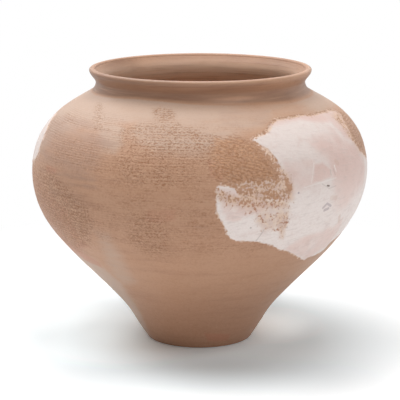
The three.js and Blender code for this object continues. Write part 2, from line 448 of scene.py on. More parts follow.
SWAY_HEIGHTS = (0, 95, 122, 172, 222, 250)
SWAY = (-0.6, -0.8, -1.7, -0.1, 1.0, 0.3)  # how far the hand-made wall leans to the right there
LUMPS = (0.35, 85)  # height and size of the wall's lumps
STREAKS = (0.1, 330, 40)  # of its long level swells, and how much longer than high they are
UNEVEN_FROM = (1, 15)  # distances up the wall between which both come in


def on_map(azimuth, height):
    """The map's (u, v) of a place given in degrees and millimetres."""
    return np.stack([np.radians(azimuth) * MAP_RADIUS, outside.distance_at(height)], axis=-1)


def azimuth_of(points):
    return np.degrees(points[..., 0] / MAP_RADIUS)


def height_of(points):
    return outside.at(points[..., 1])[0][..., 1]


def on_turned_wall(points):
    """Where map points are on the plain turned wall."""
    point, _ = outside.at(points[..., 1])
    return spun(points[..., 0] / MAP_RADIUS, point[..., 0], point[..., 1])


def standing_off(azimuth, point, normal, off):
    """Places that far off a turned line's points, leaning as the hand-made wall does."""
    pushed = point + off[..., None] * normal
    placed = spun(azimuth, pushed[..., 0], pushed[..., 1])
    placed[..., 0] += np.interp(point[..., 1], SWAY_HEIGHTS, SWAY)
    return placed


def on_wall(points, offset):
    """The place of map points on the lumpy outside, or that far off it."""
    base = on_turned_wall(points)
    height, size, stretch = STREAKS
    swells = np.stack([base[..., 0], base[..., 1], points[..., 1] * stretch], axis=-1)
    uneven = LUMPS[0] * value_noise(base, LUMPS[1], seed=1) + height * value_noise(swells, size, seed=2)
    off = offset + uneven * smooth_step(points[..., 1], *UNEVEN_FROM)
    return standing_off(points[..., 0] / MAP_RADIUS, *outside.at(points[..., 1]), off)


# Outlines on the wall, as (azimuth in degrees, height in millimetres)

PLASTER_OUTLINE = [
    (18, 217), (22, 219), (25.4, 221), (28.6, 226), (32, 228), (37.6, 229), (46.6, 229.4),
    (57, 228.4), (68.5, 227.3), (77, 225.6), (77.6, 221.6), (71.7, 216), (69.3, 206),
    (70.3, 199), (71.4, 191), (78.2, 183), (83.6, 176), (94, 170), (99, 158), (97, 142),
    (90, 128), (82, 118), (72, 110), (62.9, 107), (62.5, 98), (55.8, 96.3), (50.8, 95.8),
    (48.5, 93.9), (39.8, 103.4), (37.3, 107.7), (31, 113.5), (26, 120), (20, 125.7),
    (16.5, 126.5), (10.9, 129.3), (9.1, 134.4), (8.2, 141), (6.9, 148), (5.9, 148.7),
    (5.5, 157), (5.3, 168), (5.1, 173), (5.3, 179.5), (8.4, 180.4), (11.4, 178), (12.1, 172.7),
    (14, 168), (22, 166), (27, 164), (29.5, 165), (30.5, 174), (28.9, 183), (27.3, 187.7),
    (26.4, 194), (25.5, 199.3), (23.6, 206.5), (21, 211.7), (19.1, 213.9),
]
WHITE_OUTLINE = [
    (21.5, 216), (27, 220), (31, 224.5), (38, 226), (47, 225), (57, 222), (60, 214), (61, 204),
    (62.5, 193.5), (66.7, 186), (75, 176), (88, 166), (93, 156), (91, 142), (84, 130),
    (72, 118), (59, 110), (56.3, 120.5), (50.8, 131.4), (46, 130.6), (41.5, 127.6),
    (36, 124.7), (30, 120.5), (26, 123), (20, 128.5), (16, 129.5), (12, 132), (10.7, 136),
    (10, 142), (8.2, 149), (7.5, 158), (7.3, 163), (10, 161.5), (14.3, 160), (19.2, 158),
    (23.5, 152.5), (29.3, 152.5), (32.5, 160), (33, 170), (31.5, 182), (30, 190), (28.5, 200),
    (26, 208), (23.5, 212.5),
]
LEFT_OUTLINE = [
    (-87.3, 219), (-81.9, 215.7), (-79.4, 212.9), (-75.6, 206), (-74.2, 200.3), (-73.3, 194.3),
    (-72.4, 189.3), (-73.8, 183.3), (-77, 178), (-84, 173.5), (-94, 169.5), (-105, 174),
    (-113, 171), (-121, 179), (-124, 193), (-119, 207), (-111, 217), (-99, 223),
]


def polygon(outline):
    azimuths, heights = np.array(outline, float).T
    return on_map(azimuths, heights)


def divided(points, step):
    """A closed outline with its sides cut into equal steps no longer than that."""
    out = []
    for start, end in zip(points, np.roll(points, -1, axis=0)):
        count = max(1, math.ceil(np.linalg.norm(end - start) / step))
        out.extend(start + (end - start) * n / count for n in range(count))
    return np.array(out)


def rounded_off(points, passes):
    """A closed outline with its corners eased."""
    for _ in range(passes):
        points = (np.roll(points, 1, axis=0) + 2 * points + np.roll(points, -1, axis=0)) / 4
    return points


def ragged(outline, step, waves, seed):
    """A broken edge: the outline with waves, each given by its size and depth."""
    points = rounded_off(divided(polygon(outline), step), passes=3)
    along = np.roll(points, -1, axis=0) - np.roll(points, 1, axis=0)
    normal = np.stack([along[:, 1], -along[:, 0]], axis=1)
    normal /= np.linalg.norm(normal, axis=1)[:, None]
    flat = np.column_stack([points, np.zeros(len(points))])
    push = sum(depth * value_noise(flat, size, seed + n) for n, (size, depth) in enumerate(waves))
    return points + normal * push[:, None]


def edge_distance(points, outline, reach=20.0):
    """How far inside the closed outline each map point is, negative outside, up to that reach."""
    shape = points.shape[:-1]
    flat = points.reshape(-1, 2)
    out = np.full(len(flat), -reach)
    low = outline.min(axis=0) - reach
    high = outline.max(axis=0) + reach
    near = np.flatnonzero(((flat > low) & (flat < high)).all(axis=1))
    spot = flat[near]
    nearest = np.full(len(spot), reach)
    within = np.zeros(len(spot), bool)
    for start, end in zip(outline, np.roll(outline, -1, axis=0)):
        side = end - start
        from_start = spot - start
        share = np.clip(from_start @ side / (side @ side), 0, 1)
        nearest = np.minimum(nearest, np.linalg.norm(from_start - share[:, None] * side, axis=1))
        crosses = (start[1] > spot[:, 1]) != (end[1] > spot[:, 1])
        if side[1] != 0:
            u = start[0] + (spot[:, 1] - start[1]) * side[0] / side[1]
            within ^= crosses & (spot[:, 0] < u)
    out[near] = np.where(within, nearest, -nearest)
    return out.reshape(shape)


BROKEN_EDGE = ((11, 0.9), (5, 0.6), (2.2, 0.35))
SMEARED_EDGE = ((12, 1.2), (6, 0.7))
EDGE_STEP = 1.1

plaster_edge = ragged(PLASTER_OUTLINE, EDGE_STEP, BROKEN_EDGE, seed=20)
white_edge = ragged(WHITE_OUTLINE, EDGE_STEP, SMEARED_EDGE, seed=30)
left_edge = ragged(LEFT_OUTLINE, EDGE_STEP, BROKEN_EDGE, seed=40)


class Places:
    """Map points, with how far inside each layer of plaster they are."""

    def __init__(self, points):
        self.points = points
        self.plaster = edge_distance(points, plaster_edge)
        self.white = edge_distance(points, white_edge)
        self.left = edge_distance(points, left_edge)


# Zones of the surface: how strong each is, how soft its edge is in millimetres, and its outline

WORN = [  # rough and orange, where the clay's skin has gone
    (0.55, 7, [(-63, 239), (-54, 239), (-43, 230), (-37, 217), (-45, 216), (-53, 227)]),
    (0.58, 8, [
        (-25, 239), (-20, 242), (-14, 240), (-10, 235), (-8, 228), (-11, 224), (-16, 225), (-21, 229),
    ]),
    (0.62, 13, [
        (-34, 225), (-22, 231), (-9, 232), (2, 224), (4, 212), (2, 201), (-5, 194), (-16, 190),
        (-25, 194), (-31, 205), (-34, 217),
    ]),
    (0.6, 14, [(-8, 226), (8, 224), (12, 205), (8, 180), (0, 178), (-4, 195)]),
    (0.6, 14, [(-34, 208), (2, 208), (4, 180), (0, 172), (-14, 170), (-30, 176)]),
    (1.0, 13, [
        (4, 220), (13, 221), (18, 216), (22, 207), (25, 194), (27, 181), (28, 168), (27, 154),
        (23, 160), (18, 170), (13, 175), (8, 181), (4, 183), (2, 191), (1, 205),
    ]),
    (0.85, 18, [
        (-84, 178), (-72, 177), (-60, 185), (-52, 180), (-44, 167), (-37, 153), (-36, 137),
        (-41, 115), (-54, 98), (-75, 92), (-95, 105), (-105, 130), (-100, 160),
    ]),
    (0.6, 16, [
        (-25, 164), (-16, 163), (-8, 158), (-6, 141), (-7, 121), (-11, 109), (-18, 104), (-24, 110),
        (-27, 125), (-27, 145),
    ]),
    (0.85, 5, [
        (73, 227), (85, 221), (90, 205), (84, 188), (79, 186), (70, 192), (68, 202), (72, 213),
        (75, 221),
    ]),
    (0.7, 12, [
        (150, 214), (176, 221), (205, 214), (221, 196), (213, 171), (188, 160), (163, 172),
        (146, 190),
    ]),
]
SLANTED = [  # where the marks run down to the right
    (1.0, 5, [
        (6, 222), (20, 220), (30, 205), (34, 180), (31, 160), (20, 150), (8, 158), (3, 178), (3, 200),
    ]),
]
RUBBED = [  # worn clay with few pits left
    (0.8, 7, [
        (5.8, 176.2), (17, 180.6), (31.1, 182.3), (33, 168.4), (32.6, 153.8), (21.2, 152.5),
        (12.3, 156.9), (5.4, 166),
    ]),
]
BLOOM = [  # a pale film on the shoulder, besides the one round the neck
    (0.8, 18, [
        (-96, 184), (-96, 238), (-37, 241), (-14, 241), (-16, 230), (-32, 223), (-38, 216),
        (-50, 218), (-62, 206), (-70, 190), (-76, 180),
    ]),
    (0.75, 9, [(-45, 225), (-37, 229), (-30, 224), (-27, 211), (-30, 201), (-36, 202), (-41, 213)]),
    (0.7, 14, [
        (-31, 240), (-15, 244), (8, 243), (38, 239), (35, 230), (25, 222), (17, 219), (8, 210), (0, 201),
        (-16, 204), (-29, 216),
    ]),
    (0.85, 17, [
        (-84, 86), (-70, 100), (-48, 95), (-41, 70), (-48, 46), (-54, 20), (-62, 2), (-80, 12),
        (-108, 4), (-112, 38), (-98, 56),
    ]),
    (0.6, 15, [
        (-38, 134), (-30, 136), (-28, 109), (-30, 73), (-43, 63), (-45, 80), (-41, 104),
    ]),
]
NECK_BLOOM = 0.8  # how strong the film round the neck is
NECK_BLOOM_HEIGHTS = (217, 234, 240, 242.5)  # between the first two it comes in, the others it goes
NECK_GAP = (5, 30, 48, 66)  # azimuths between which it is thinner, by NECK_THINNING
NECK_THINNING = 0.35
CREST_HIGHLIGHT = 0.45  # how strong the painted highlight on the rim's crest is
CREASE_AZIMUTHS = (-70, -50, -36, -20, -5, 20, 50, 150, 210)
CREASE_RISES = (0, 1.4, 3.1, 2.9, 1, 0, -2.2, -2.2, 0)  # at these azimuths, over the front's heights
BLUSH = [  # redder clay
    (0.25, 8, [(-59, 238), (-55, 238), (-44, 229), (-38, 219), (-43, 218), (-53, 228)]),
    (0.55, 4, [(-17, 159), (-7, 160), (-7, 147), (-12, 143), (-18, 145)]),
    (0.5, 4, [(-52, 159), (-47, 163), (-47, 149), (-53, 142)]),
    (0.8, 3, [(-63, 182), (-54, 183), (-55, 175), (-62, 174)]),
    (0.7, 3, [(2, 201), (7, 202), (9, 191), (7, 183), (3, 186)]),
    (0.9, 5, [(4, 18), (30, 15), (30, 6), (8, 8)]),
    (0.9, 5, [(7, 166), (30, 162), (32, 140), (31, 122), (27, 124), (20, 143), (8, 152)]),
    (0.9, 12, [(-88, 170), (-66, 168), (-50, 150), (-44, 110), (-64, 90), (-90, 98), (-96, 125)]),
    (0.8, 5, [(-71, 108), (-56, 104), (-46, 94), (-47, 86), (-60, 88)]),
    (0.7, 6, [(-90, 172), (-77, 172), (-66, 158), (-56, 132), (-66, 122), (-88, 145)]),
]
VIOLET = [  # greyer clay
    (0.75, 26, [
        (-84, 180), (-84, 222), (-68, 228), (-54, 228), (-39, 222), (-31, 211), (-32, 190), (-38, 174),
        (-46, 168), (-57, 174), (-70, 178),
    ]),
    (0.5, 8, [(-42, 184), (-35, 188), (-33, 169), (-38, 162), (-43, 171)]),
    (0.35, 6, [(-3, 163), (4, 165), (5, 130), (-2, 128)]),
    (0.5, 8, [(8, 240), (36, 239), (32, 228), (26, 222), (14, 222), (4, 230)]),
]
PINK = [  # pinker plaster
    (0.9, 6, [
        (26, 228), (43, 231), (68, 228), (77, 225), (71, 214), (68, 200), (61, 205), (61, 220),
        (44, 226), (28, 224),
    ]),
    (0.5, 5, [(27, 198), (35, 198), (41, 194), (40, 173), (34, 169), (29, 163), (28, 177)]),
    (0.85, 14, [(42, 207), (58, 216), (70, 196), (76, 172), (68, 150), (54, 140), (48, 165), (46, 192)]),
    (1.0, 3, [(40.4, 191), (44.3, 191), (47.3, 185.5), (47.9, 176.6), (43, 175), (38.7, 175.6)]),
    (0.7, 4, [(5, 179), (13, 177), (20, 169), (23, 160), (20, 154), (13, 150), (7, 154)]),
    (0.7, 3, [(8.2, 156), (12.4, 155.7), (13.8, 149), (10.9, 145.6), (8.3, 148.8)]),
    (0.7, 5, [(32, 113), (37, 124), (55, 128), (60, 136), (63, 119), (60, 102), (49, 95), (40, 104)]),
]
CLAY_SPECKS = [  # specks of clay in the plaster
    (0.62, 4, [(5.4, 176), (10.7, 170), (18, 166), (18, 158.5), (15.9, 159.7), (10.7, 164), (6, 167)]),
    (0.45, 4, [(17, 166), (19.9, 165), (28.3, 163), (30, 155.4), (22.7, 156.5), (17, 159)]),
    (0.24, 5, [
        (6, 169), (12, 165.7), (19.9, 160), (29.5, 158), (30.2, 149.8), (22.9, 150), (14.6, 155.4),
        (6.9, 161.7),
    ]),
    (0.3, 4, [(18, 154.8), (23.4, 155.4), (26.6, 147), (25.8, 135.7), (21.4, 136.9), (18.2, 145.4)]),
    (0.26, 4, [(24, 166), (29, 164.8), (29.4, 150), (29.2, 136.7), (25.7, 143.5), (24, 155)]),
    (0.4, 3, [(24.4, 152), (29.6, 153), (30.2, 138), (28.2, 131), (25.8, 140)]),
    (0.28, 3, [(27, 138), (29.9, 138), (30.5, 125), (28.3, 126)]),
    (0.32, 4, [
        (26.6, 193), (29.2, 187.6), (31.3, 175), (31.3, 162), (29, 159.4), (26.8, 167), (26.3, 181),
    ]),
    (0.45, 6, [(66, 224), (79, 227), (82, 205), (86, 184), (80, 180), (70, 190), (66, 205)]),
]
PLASTER_SPECKS = [  # specks of plaster in the clay
    (0.55, 3, [(24.5, 180), (28, 182), (29.5, 165), (27, 158), (23.5, 166)]),
    (0.45, 3, [
        (20.3, 214.5), (23.9, 212.5), (27.7, 201), (29.2, 187.6), (27.7, 179), (25.6, 183),
        (24.8, 193.7), (22, 204.8),
    ]),
    (0.4, 4, [
        (7, 181), (12.7, 182), (18, 184), (24.9, 183.5), (26.9, 176), (26.8, 167), (19.9, 170.6),
        (12.6, 171.8), (6.9, 174),
    ]),
    (0.5, 4, [
        (5.7, 178.5), (10.7, 173.7), (15.9, 174.8), (21.2, 172), (26.8, 169), (28.3, 159.6),
        (19.9, 162.6), (12.6, 166.5), (6.3, 169),
    ]),
]
LEFT_REACH = 4.0  # how far the specks go either way from the left patch's edge
SPECK_REACH = (1.2, 3.4)  # and from the big patch's, below and above HIGH_SPECKS
HIGH_SPECKS = (205, 222)
SPECKS_INSIDE = (-12, -6)  # CLAY_SPECKS come in from 12 to 6 mm outside the plaster's edge
WORN_BAND = 0.8  # how worn the clay is along the plaster's top edge
WORN_BAND_HEIGHTS = (208, 222)  # heights between which that band comes in
WORN_BAND_INSIDE = (-6, 0)  # and it comes in from 6 mm outside the edge up to the edge
CREST_EDGE = 0.6  # how far under the crest its painted highlight is full


def zone_share(points, zones):
    """How strongly each map point is in the zones, 0 to 1."""
    share = np.zeros(points.shape[:-1])
    for strength, softness, outline in zones:
        depth = edge_distance(points, polygon(outline))
        share = np.maximum(share, strength * smooth_step(depth, -softness, softness))
    return share


def clay_share(places):
    """How much of the surface is clay: 1 on bare clay, 0 on plaster, between them in the specks."""
    low, high = SPECK_REACH
    reach = low + (high - low) * smooth_step(height_of(places.points), *HIGH_SPECKS)
    share = np.clip(0.5 - places.plaster / (2 * reach), 0, 1)
    share = np.minimum(share, np.clip(0.5 - places.left / (2 * LEFT_REACH), 0, 1))
    share = np.minimum(share, 1 - zone_share(places.points, PLASTER_SPECKS))
    in_reach = smooth_step(places.plaster, *SPECKS_INSIDE)
    return np.maximum(share, zone_share(places.points, CLAY_SPECKS) * in_reach)


def worn_share(places):
    """How worn the clay is, 0 to 1: in its zones and in a band along the plaster's top edge."""
    height = height_of(places.points)
    band = smooth_step(places.plaster, *WORN_BAND_INSIDE) * smooth_step(height, *WORN_BAND_HEIGHTS)
    return np.maximum(zone_share(places.points, WORN), WORN_BAND * band)


def between(azimuth, comes, full, fades, gone):
    """1 between the middle two azimuths, 0 beyond the outer two."""
    return smooth_step(azimuth, comes, full) * smooth_step(azimuth, gone, fades)


def crease_rise(azimuth):
    """How much higher the film ends, and the painted shade begins, than at the front."""
    return np.interp(azimuth, CREASE_AZIMUTHS, CREASE_RISES)


def film_and_highlight_share(points):
    """How pale the clay is: the pale film in its zones and round the neck, and a painted highlight on the
    rim's crest.
    """
    height = height_of(points)
    rise_from, rise_to, fall_from, fall_to = NECK_BLOOM_HEIGHTS
    azimuth = azimuth_of(points)
    thin = 1 - NECK_THINNING * between(azimuth, *NECK_GAP)
    band = NECK_BLOOM * smooth_step(height, rise_from, rise_to) * thin
    below_neck = 1 - smooth_step(height - crease_rise(azimuth), fall_from, fall_to)
    crest = CREST_HIGHLIGHT * smooth_step(height, LIP_HEIGHT, TOTAL_HEIGHT - CREST_EDGE)
    return np.maximum(np.maximum(zone_share(points, BLOOM), band) * below_neck, crest)


# Throwing lines

LINE_PITCH = 2.2
RIDGE_LINES = 3  # lines to each wider ridge, which is in the mesh, while the lines are in the bump
RIDGE_HEIGHT = 0.045
LINES_FROM = (95, 122)  # heights between which they appear
LINES_TO = (222, 236)  # and go
LINE_WAVES = ((0.5, 70), (0.22, 14))  # how many pitches they stray, and over what distances
LINES_KEPT = 0.6  # how clear the lines are, 0 to 1, before they are broken up
LINE_BREAKS = ((0.5, 3.5, 30), (0.5, 4, 11))  # by how much, with noise how flat and of what size


def line_phase(points):
    """Counts the lines up the wall. They climb one ridge in a turn, so the map's edges meet."""
    base = on_turned_wall(points)
    stray = sum(pitches * value_noise(base, size, seed=3) for pitches, size in LINE_WAVES)
    return points[..., 1] / LINE_PITCH + RIDGE_LINES * points[..., 0] / TURN + stray


def line_share(points):
    """How clear the lines are: broken, and gone low on the wall and near the neck."""
    base = on_turned_wall(points)
    height = height_of(points)
    broken = LINES_KEPT
    for seed, (depth, flatness, size) in enumerate(LINE_BREAKS, 4):
        broken = broken + depth * value_noise(base * [1, 1, flatness], size, seed)
    shown = smooth_step(height, *LINES_FROM) * (1 - smooth_step(height, *LINES_TO))
    return shown * np.clip(broken, 0, 1)


# Plaster layers: how far they stand proud of the clay, and how deep they go, away from their edges

BED_DEPTH = 1.4
BED_SLOPE = (0.2, 5)  # distances inside a layer's edge between which its bed goes down
PINK_PROUD = 0.3
WHITE_OVER = 0.15
WHITE_THICKNESS = 0.6
LEFT_PROUD = 0.35
LEFT_DEPTH = 1.0
BEDDING_GAP = 0.04


def bed(depth_inside, depth):
    """How far down a layer's bed is, that far inside its edge."""
    return depth * smooth_step(depth_inside, *BED_SLOPE)


def clay_offset(places):
    """How far the clay stands off the plain wall: its ridges, and its beds for the plaster."""
    turns = line_phase(places.points) / RIDGE_LINES
    ridges = RIDGE_HEIGHT * line_share(places.points) * np.sin(math.tau * turns)
    bare = (places.plaster < 0) & (places.left < 0)
    beds = bed(places.plaster, BED_DEPTH) + bed(places.left, LEFT_DEPTH) + BEDDING_GAP
    return np.where(bare, ridges, -beds)


# Meshes

COLUMNS = 600
ROW_STEPS = {  # up to each seam or height, on the outside
    "floor": 1.0, "foot": 1.8, "lines": 1.8, "belly": 1.1, "neck": 1.1, "crest": 0.9,
}
STOPS = {
    "floor": FLOOR_TOP, "foot": FOOT_SEAM, "lines": LINES_FROM[0], "belly": BELLY_HEIGHT,
    "neck": NECK_ROOT, "crest": TOTAL_HEIGHT,
}
INSIDE_STEP = 3.4
RING_PITCH = 14.0  # of the wide rings that the potter's fingers left inside
RING_HEIGHT = 0.4
RINGS_FROM = (12, 40)  # distances down the inside between which they come in
RINGS_CLEAR = 6  # how far from a seam they have their full height


def outside_rows():
    """Distances up the outside of all the rows, and the number of the row at each stop."""
    rows = [0.0]
    marks = {}
    for name, step in ROW_STEPS.items():
        end = float(outside.distance_at(STOPS[name]))
        if name == "crest":
            end = float(outside.reached[-1])
        count = max(1, math.ceil((end - rows[-1]) / step))
        rows.extend(np.linspace(rows[-1], end, count + 1)[1:])
        marks[name] = len(rows) - 1
    return np.array(rows), marks


def turned_normals(grid):
    """Normals of a grid of places, rows up and columns round, pointing out of the vase."""
    along = np.gradient(grid, axis=0)
    around = np.roll(grid, -1, axis=1) - np.roll(grid, 1, axis=1)
    normals = np.cross(around, along)
    return normals / np.linalg.norm(normals, axis=2)[..., None]


columns = math.radians(MAP_START) + np.arange(COLUMNS) * math.tau / COLUMNS
v_rows, row_marks = outside_rows()
map_grid = np.stack(np.meshgrid(columns * MAP_RADIUS, v_rows), axis=-1)
grid_places = Places(map_grid)
outside_grid = on_wall(map_grid, clay_offset(grid_places))
outside_normals = turned_normals(outside_grid)

# Painted shade on the neck, under its lip and in the crease at its root
NECK_SHADE_HEIGHTS = (240.7, 242.2, 243.8, 254, 260, 262.5)
NECK_SHADE = (0, 0.4, 0.88, 0.86, 0.66, 0.3)
LEFT_SIDE = (-130, -100, -60, -20)  # azimuths between which the neck's painted shade is darker, by
LEFT_SHADIER = 0.6
RIGHT_SIDE = (6, 57, 150, 215)  # and between which its upper right has less painted shade, by
RIGHT_LESS_SHADE = 0.5
UPPER_NECK = (246, 253)
HIGHLIGHT_AZIMUTHS = (1, 19, 38)  # a painted highlight strip round the neck, where its painted shade is left out: from, middle and to
HIGHLIGHT_HEIGHTS = (243.4, 246.2, 249)
BELLY_DARKENING = [(0.35, 14, [(-64, 188), (-42, 188), (-34, 160), (-40, 144), (-60, 148)])]  # a darker stretch on the belly's left
# Painted shade inside, under the rim
INSIDE_SHADE_ENDS = (2, 5, 12, 30)
INSIDE_SHADE = (0.2, 0.3, 0.3, 0.0)  # painted shade at these distances down the inside
INSIDE_AZIMUTHS = (-135, -118, -90, 100, 128, 148, 200, 212, 225)
INSIDE_SHADE_TIMES = (2.2, 2, 1, 1, 2.4, 1, 0.8, 0, 2.2)  # times the above, at these azimuths; none at 212, which leaves a painted highlight there
PALE_INSIDE = (3, 22)  # distances down between which the inside turns pale


def painted_shade_share(points):
    """Painted shade in the crease under the neck and up the neck, darker on the left, lighter on the upper
    right, left out in a painted highlight strip; and a darker stretch on the belly.
    """
    azimuth = azimuth_of(points)
    height = height_of(points)
    left = between(azimuth, *LEFT_SIDE)
    right = between(azimuth, *RIGHT_SIDE) * smooth_step(height, *UPPER_NECK) * (height < LIP_HEIGHT)
    highlight = np.interp(azimuth, HIGHLIGHT_AZIMUTHS, (0, 1, 0)) * np.interp(height, HIGHLIGHT_HEIGHTS, (0, 1, 0))
    shade = (1 + LEFT_SHADIER * left) * (1 - RIGHT_LESS_SHADE * right) * (1 - highlight)
    neck = np.interp(height - crease_rise(azimuth), NECK_SHADE_HEIGHTS, NECK_SHADE) * shade
    return np.maximum(neck, zone_share(points, BELLY_DARKENING))


def finish_shares(places):
    """The attributes that the materials read, for outside places."""
    points = places.points
    zones = {"pink": PINK, "slant": SLANTED, "rubbed": RUBBED, "blush": BLUSH, "violet": VIOLET}
    return {
        "clay_share": clay_share(places),
        "worn": worn_share(places),
        "film_and_highlight": film_and_highlight_share(points),
        "painted_shade": painted_shade_share(points),
        "lines": line_share(points),
        "inner": np.zeros(points.shape[:-1]),
        **{name: zone_share(points, outlines) for name, outlines in zones.items()},
    }


outside_shares = finish_shares(grid_places)


def inside_shares(down):
    """What the attributes are on the inside, apart from those that are nothing there."""
    shading = np.interp(np.degrees(columns), INSIDE_AZIMUTHS, INSIDE_SHADE_TIMES)
    return {
        "clay_share": np.ones(down.shape),
        "inner": smooth_step(down, *PALE_INSIDE),
        "painted_shade": np.interp(down, INSIDE_SHADE_ENDS, INSIDE_SHADE) * shading,
    }


SHARP = math.radians(50)  # edges that turn by more than this aren't smoothed over


def make_mesh(name, verts, faces, material):
    mesh = bpy.data.meshes.new(name)
    mesh.from_pydata((verts * MM).tolist(), [], faces)
    mesh.materials.append(material)
    mesh.shade_smooth()
    mesh.set_sharp_from_angle(angle=SHARP)
    piece = bpy.data.objects.new(name, mesh)
    bpy.context.scene.collection.objects.link(piece)
    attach(piece, "root")
    return piece


def set_attribute(piece, name, values, domain="POINT"):
    kind = "FLOAT_VECTOR" if values.ndim == 2 else "FLOAT"
    attribute = piece.data.attributes.new(name, kind, domain)
    field = "vector" if values.ndim == 2 else "value"
    attribute.data.foreach_set(field, values.astype(np.float32).ravel())


def ring_faces(first, second):
    """Quads between two rings of vertices, given by the number of each ring's first vertex."""
    here = np.arange(COLUMNS)
    there = np.roll(here, -1)
    return np.stack([first + here, first + there, second + there, second + here], axis=1)


def chart_corners(first, second):
    """The map places of ring_faces' corners, from the rows' map places. Past the last column the map
    goes on, so that no face spans all of it."""
    width = np.array([TURN, 0, RIDGE_LINES])
    def there(row):
        return np.concatenate([row[1:], row[:1] + width])
    return np.stack([first, there(first), there(second), second], axis=1).reshape(-1, 3)


def inside_grid(upper, lower):
    """Places of the inside between two seams, from the top down, and the distances down the inside."""
    step = ROW_STEPS["crest"] if upper == "crest" else INSIDE_STEP
    ends = [float(np.interp(-STOPS[s], -inside.points[:, 1], inside.reached)) for s in (upper, lower)]
    rows = np.linspace(*ends, max(1, math.ceil((ends[1] - ends[0]) / step)) + 1)
    point, normal = inside.at(rows)
    azimuth, down = np.meshgrid(columns, rows)
    rings = np.sin(math.tau * down / RING_PITCH + azimuth)
    seam = np.minimum(down - down[0], down[-1] - down)
    off = RING_HEIGHT * rings * smooth_step(down, *RINGS_FROM) * smooth_step(seam, 0, RINGS_CLEAR)
    return standing_off(azimuth, point[:, None], normal[:, None], off), rows


def wall_piece(name, node, lower, upper, material):
    """A section of the wall between two seams, closed across its lands."""
    rows = slice(row_marks[lower], row_marks[upper] + 1)
    outer = outside_grid[rows]
    inner, inner_rows = inside_grid(upper, lower)
    if upper == "crest":
        inner = inner[1:]
        inner_rows = inner_rows[1:]
    rings = np.concatenate([outer, inner])
    inner_normals = -turned_normals(inner[::-1])[::-1]
    normals = np.concatenate([outside_normals[rows], inner_normals])
    count = len(rings)
    pairs = [(i, (i + 1) % count) for i in range(count)]
    faces = np.concatenate([ring_faces(i * COLUMNS, j * COLUMNS) for i, j in pairs])
    piece = make_mesh(name, rings.reshape(-1, 3), faces.tolist(), material)
    piece.data.normals_split_custom_set_from_vertices(normals.reshape(-1, 3).tolist())

    chart = np.zeros((*rings.shape[:2], 3))
    chart[: len(outer), :, :2] = map_grid[rows]
    chart[: len(outer), :, 2] = line_phase(map_grid[rows])
    chart[len(outer) :, :, 0] = columns * MAP_RADIUS
    chart[len(outer) :, :, 1] = -inner_rows[:, None]
    corners = np.concatenate([chart_corners(chart[i], chart[j]) for i, j in pairs])
    set_attribute(piece, "map", corners, "CORNER")
    down = np.repeat(inner_rows[:, None], COLUMNS, axis=1)
    on_inside = inside_shares(down)
    for share, values in outside_shares.items():
        inner_values = on_inside.get(share, np.zeros(down.shape))
        set_attribute(piece, share, np.concatenate([values[rows], inner_values]).ravel())
    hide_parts(node)


UNDERSIDE_RINGS = (0.25, 0.5, 0.75, 0.92)
FLOOR_RINGS = (0.86, 0.7, 0.5, 0.25)
EDGE_ROWS = 3  # of the base's rounded edge, which keep Blender's own normals


def base_piece(material):
    """The slab under the foot: its underside, rounded edge and top."""
    rows = slice(0, row_marks["floor"] + 1)
    outer = outside_grid[rows]
    low_centre = np.array([SWAY[0], 0, 0])
    high_centre = np.array([SWAY[0], 0, FLOOR_TOP])
    under = np.stack([low_centre + (outer[0] - low_centre) * share for share in UNDERSIDE_RINGS])
    over = np.stack([high_centre + (outer[-1] - high_centre) * share for share in FLOOR_RINGS])
    under[..., 2] = 0
    over[..., 2] = FLOOR_TOP
    rings = np.concatenate([under, outer, over])
    count = len(rings)
    verts = np.concatenate([rings.reshape(-1, 3), [low_centre, high_centre]])
    pairs = [(i, i + 1) for i in range(count - 1)]
    faces = np.concatenate([ring_faces(i * COLUMNS, j * COLUMNS) for i, j in pairs]).tolist()
    last = (count - 1) * COLUMNS
    for i in range(COLUMNS):
        after = (i + 1) % COLUMNS
        faces.append((count * COLUMNS, after, i))
        faces.append((count * COLUMNS + 1, last + i, last + after))
    piece = make_mesh("base_disc_clay", verts, faces, material)
    normals = np.zeros((len(verts), 3))
    start = (len(under) + EDGE_ROWS) * COLUMNS
    end = start + (len(outer) - EDGE_ROWS) * COLUMNS
    normals[start:end] = outside_normals[rows][EDGE_ROWS:].reshape(-1, 3)
    piece.data.normals_split_custom_set_from_vertices(normals.tolist())

    chart = np.zeros((*rings.shape[:2], 3))
    chart[len(under) : len(under) + len(outer), :, :2] = map_grid[rows]
    corners = [chart_corners(chart[i], chart[j]) for i, j in pairs]
    corners.append(np.zeros((COLUMNS * 2 * 3, 3)))
    set_attribute(piece, "map", np.concatenate(corners), "CORNER")
    first = len(under) * COLUMNS
    for share, values in outside_shares.items():
        filled = np.full(len(verts), float(share == "clay_share"))
        filled[first : first + len(outer) * COLUMNS] = values[rows].ravel()
        set_attribute(piece, share, filled)
    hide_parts("base_disc")


# Plaster

PLASTER_STEP = 1.4
PLASTER_LUMPS = ((0.2, 26), (0.07, 9), (0.03, 4))  # heights and sizes of its uneven top
DENTS = [  # azimuth, height, radius and depth
    (45.6, 170.2, 2.6, 0.6), (33, 168.3, 1.6, 0.25), (17, 140.2, 1.6, 0.3), (30.2, 137.3, 1.6, 0.3),
]
EDGE_RISE = 0.25  # share of its full height that a layer has at its edge
FULL_RISE = 1.6  # and how far inside it has all of it
EDGE_CLEAR = 0.45  # of a step between the outline and the points that fill it
WELD = 1e-5  # distance within which the points of a fill are one


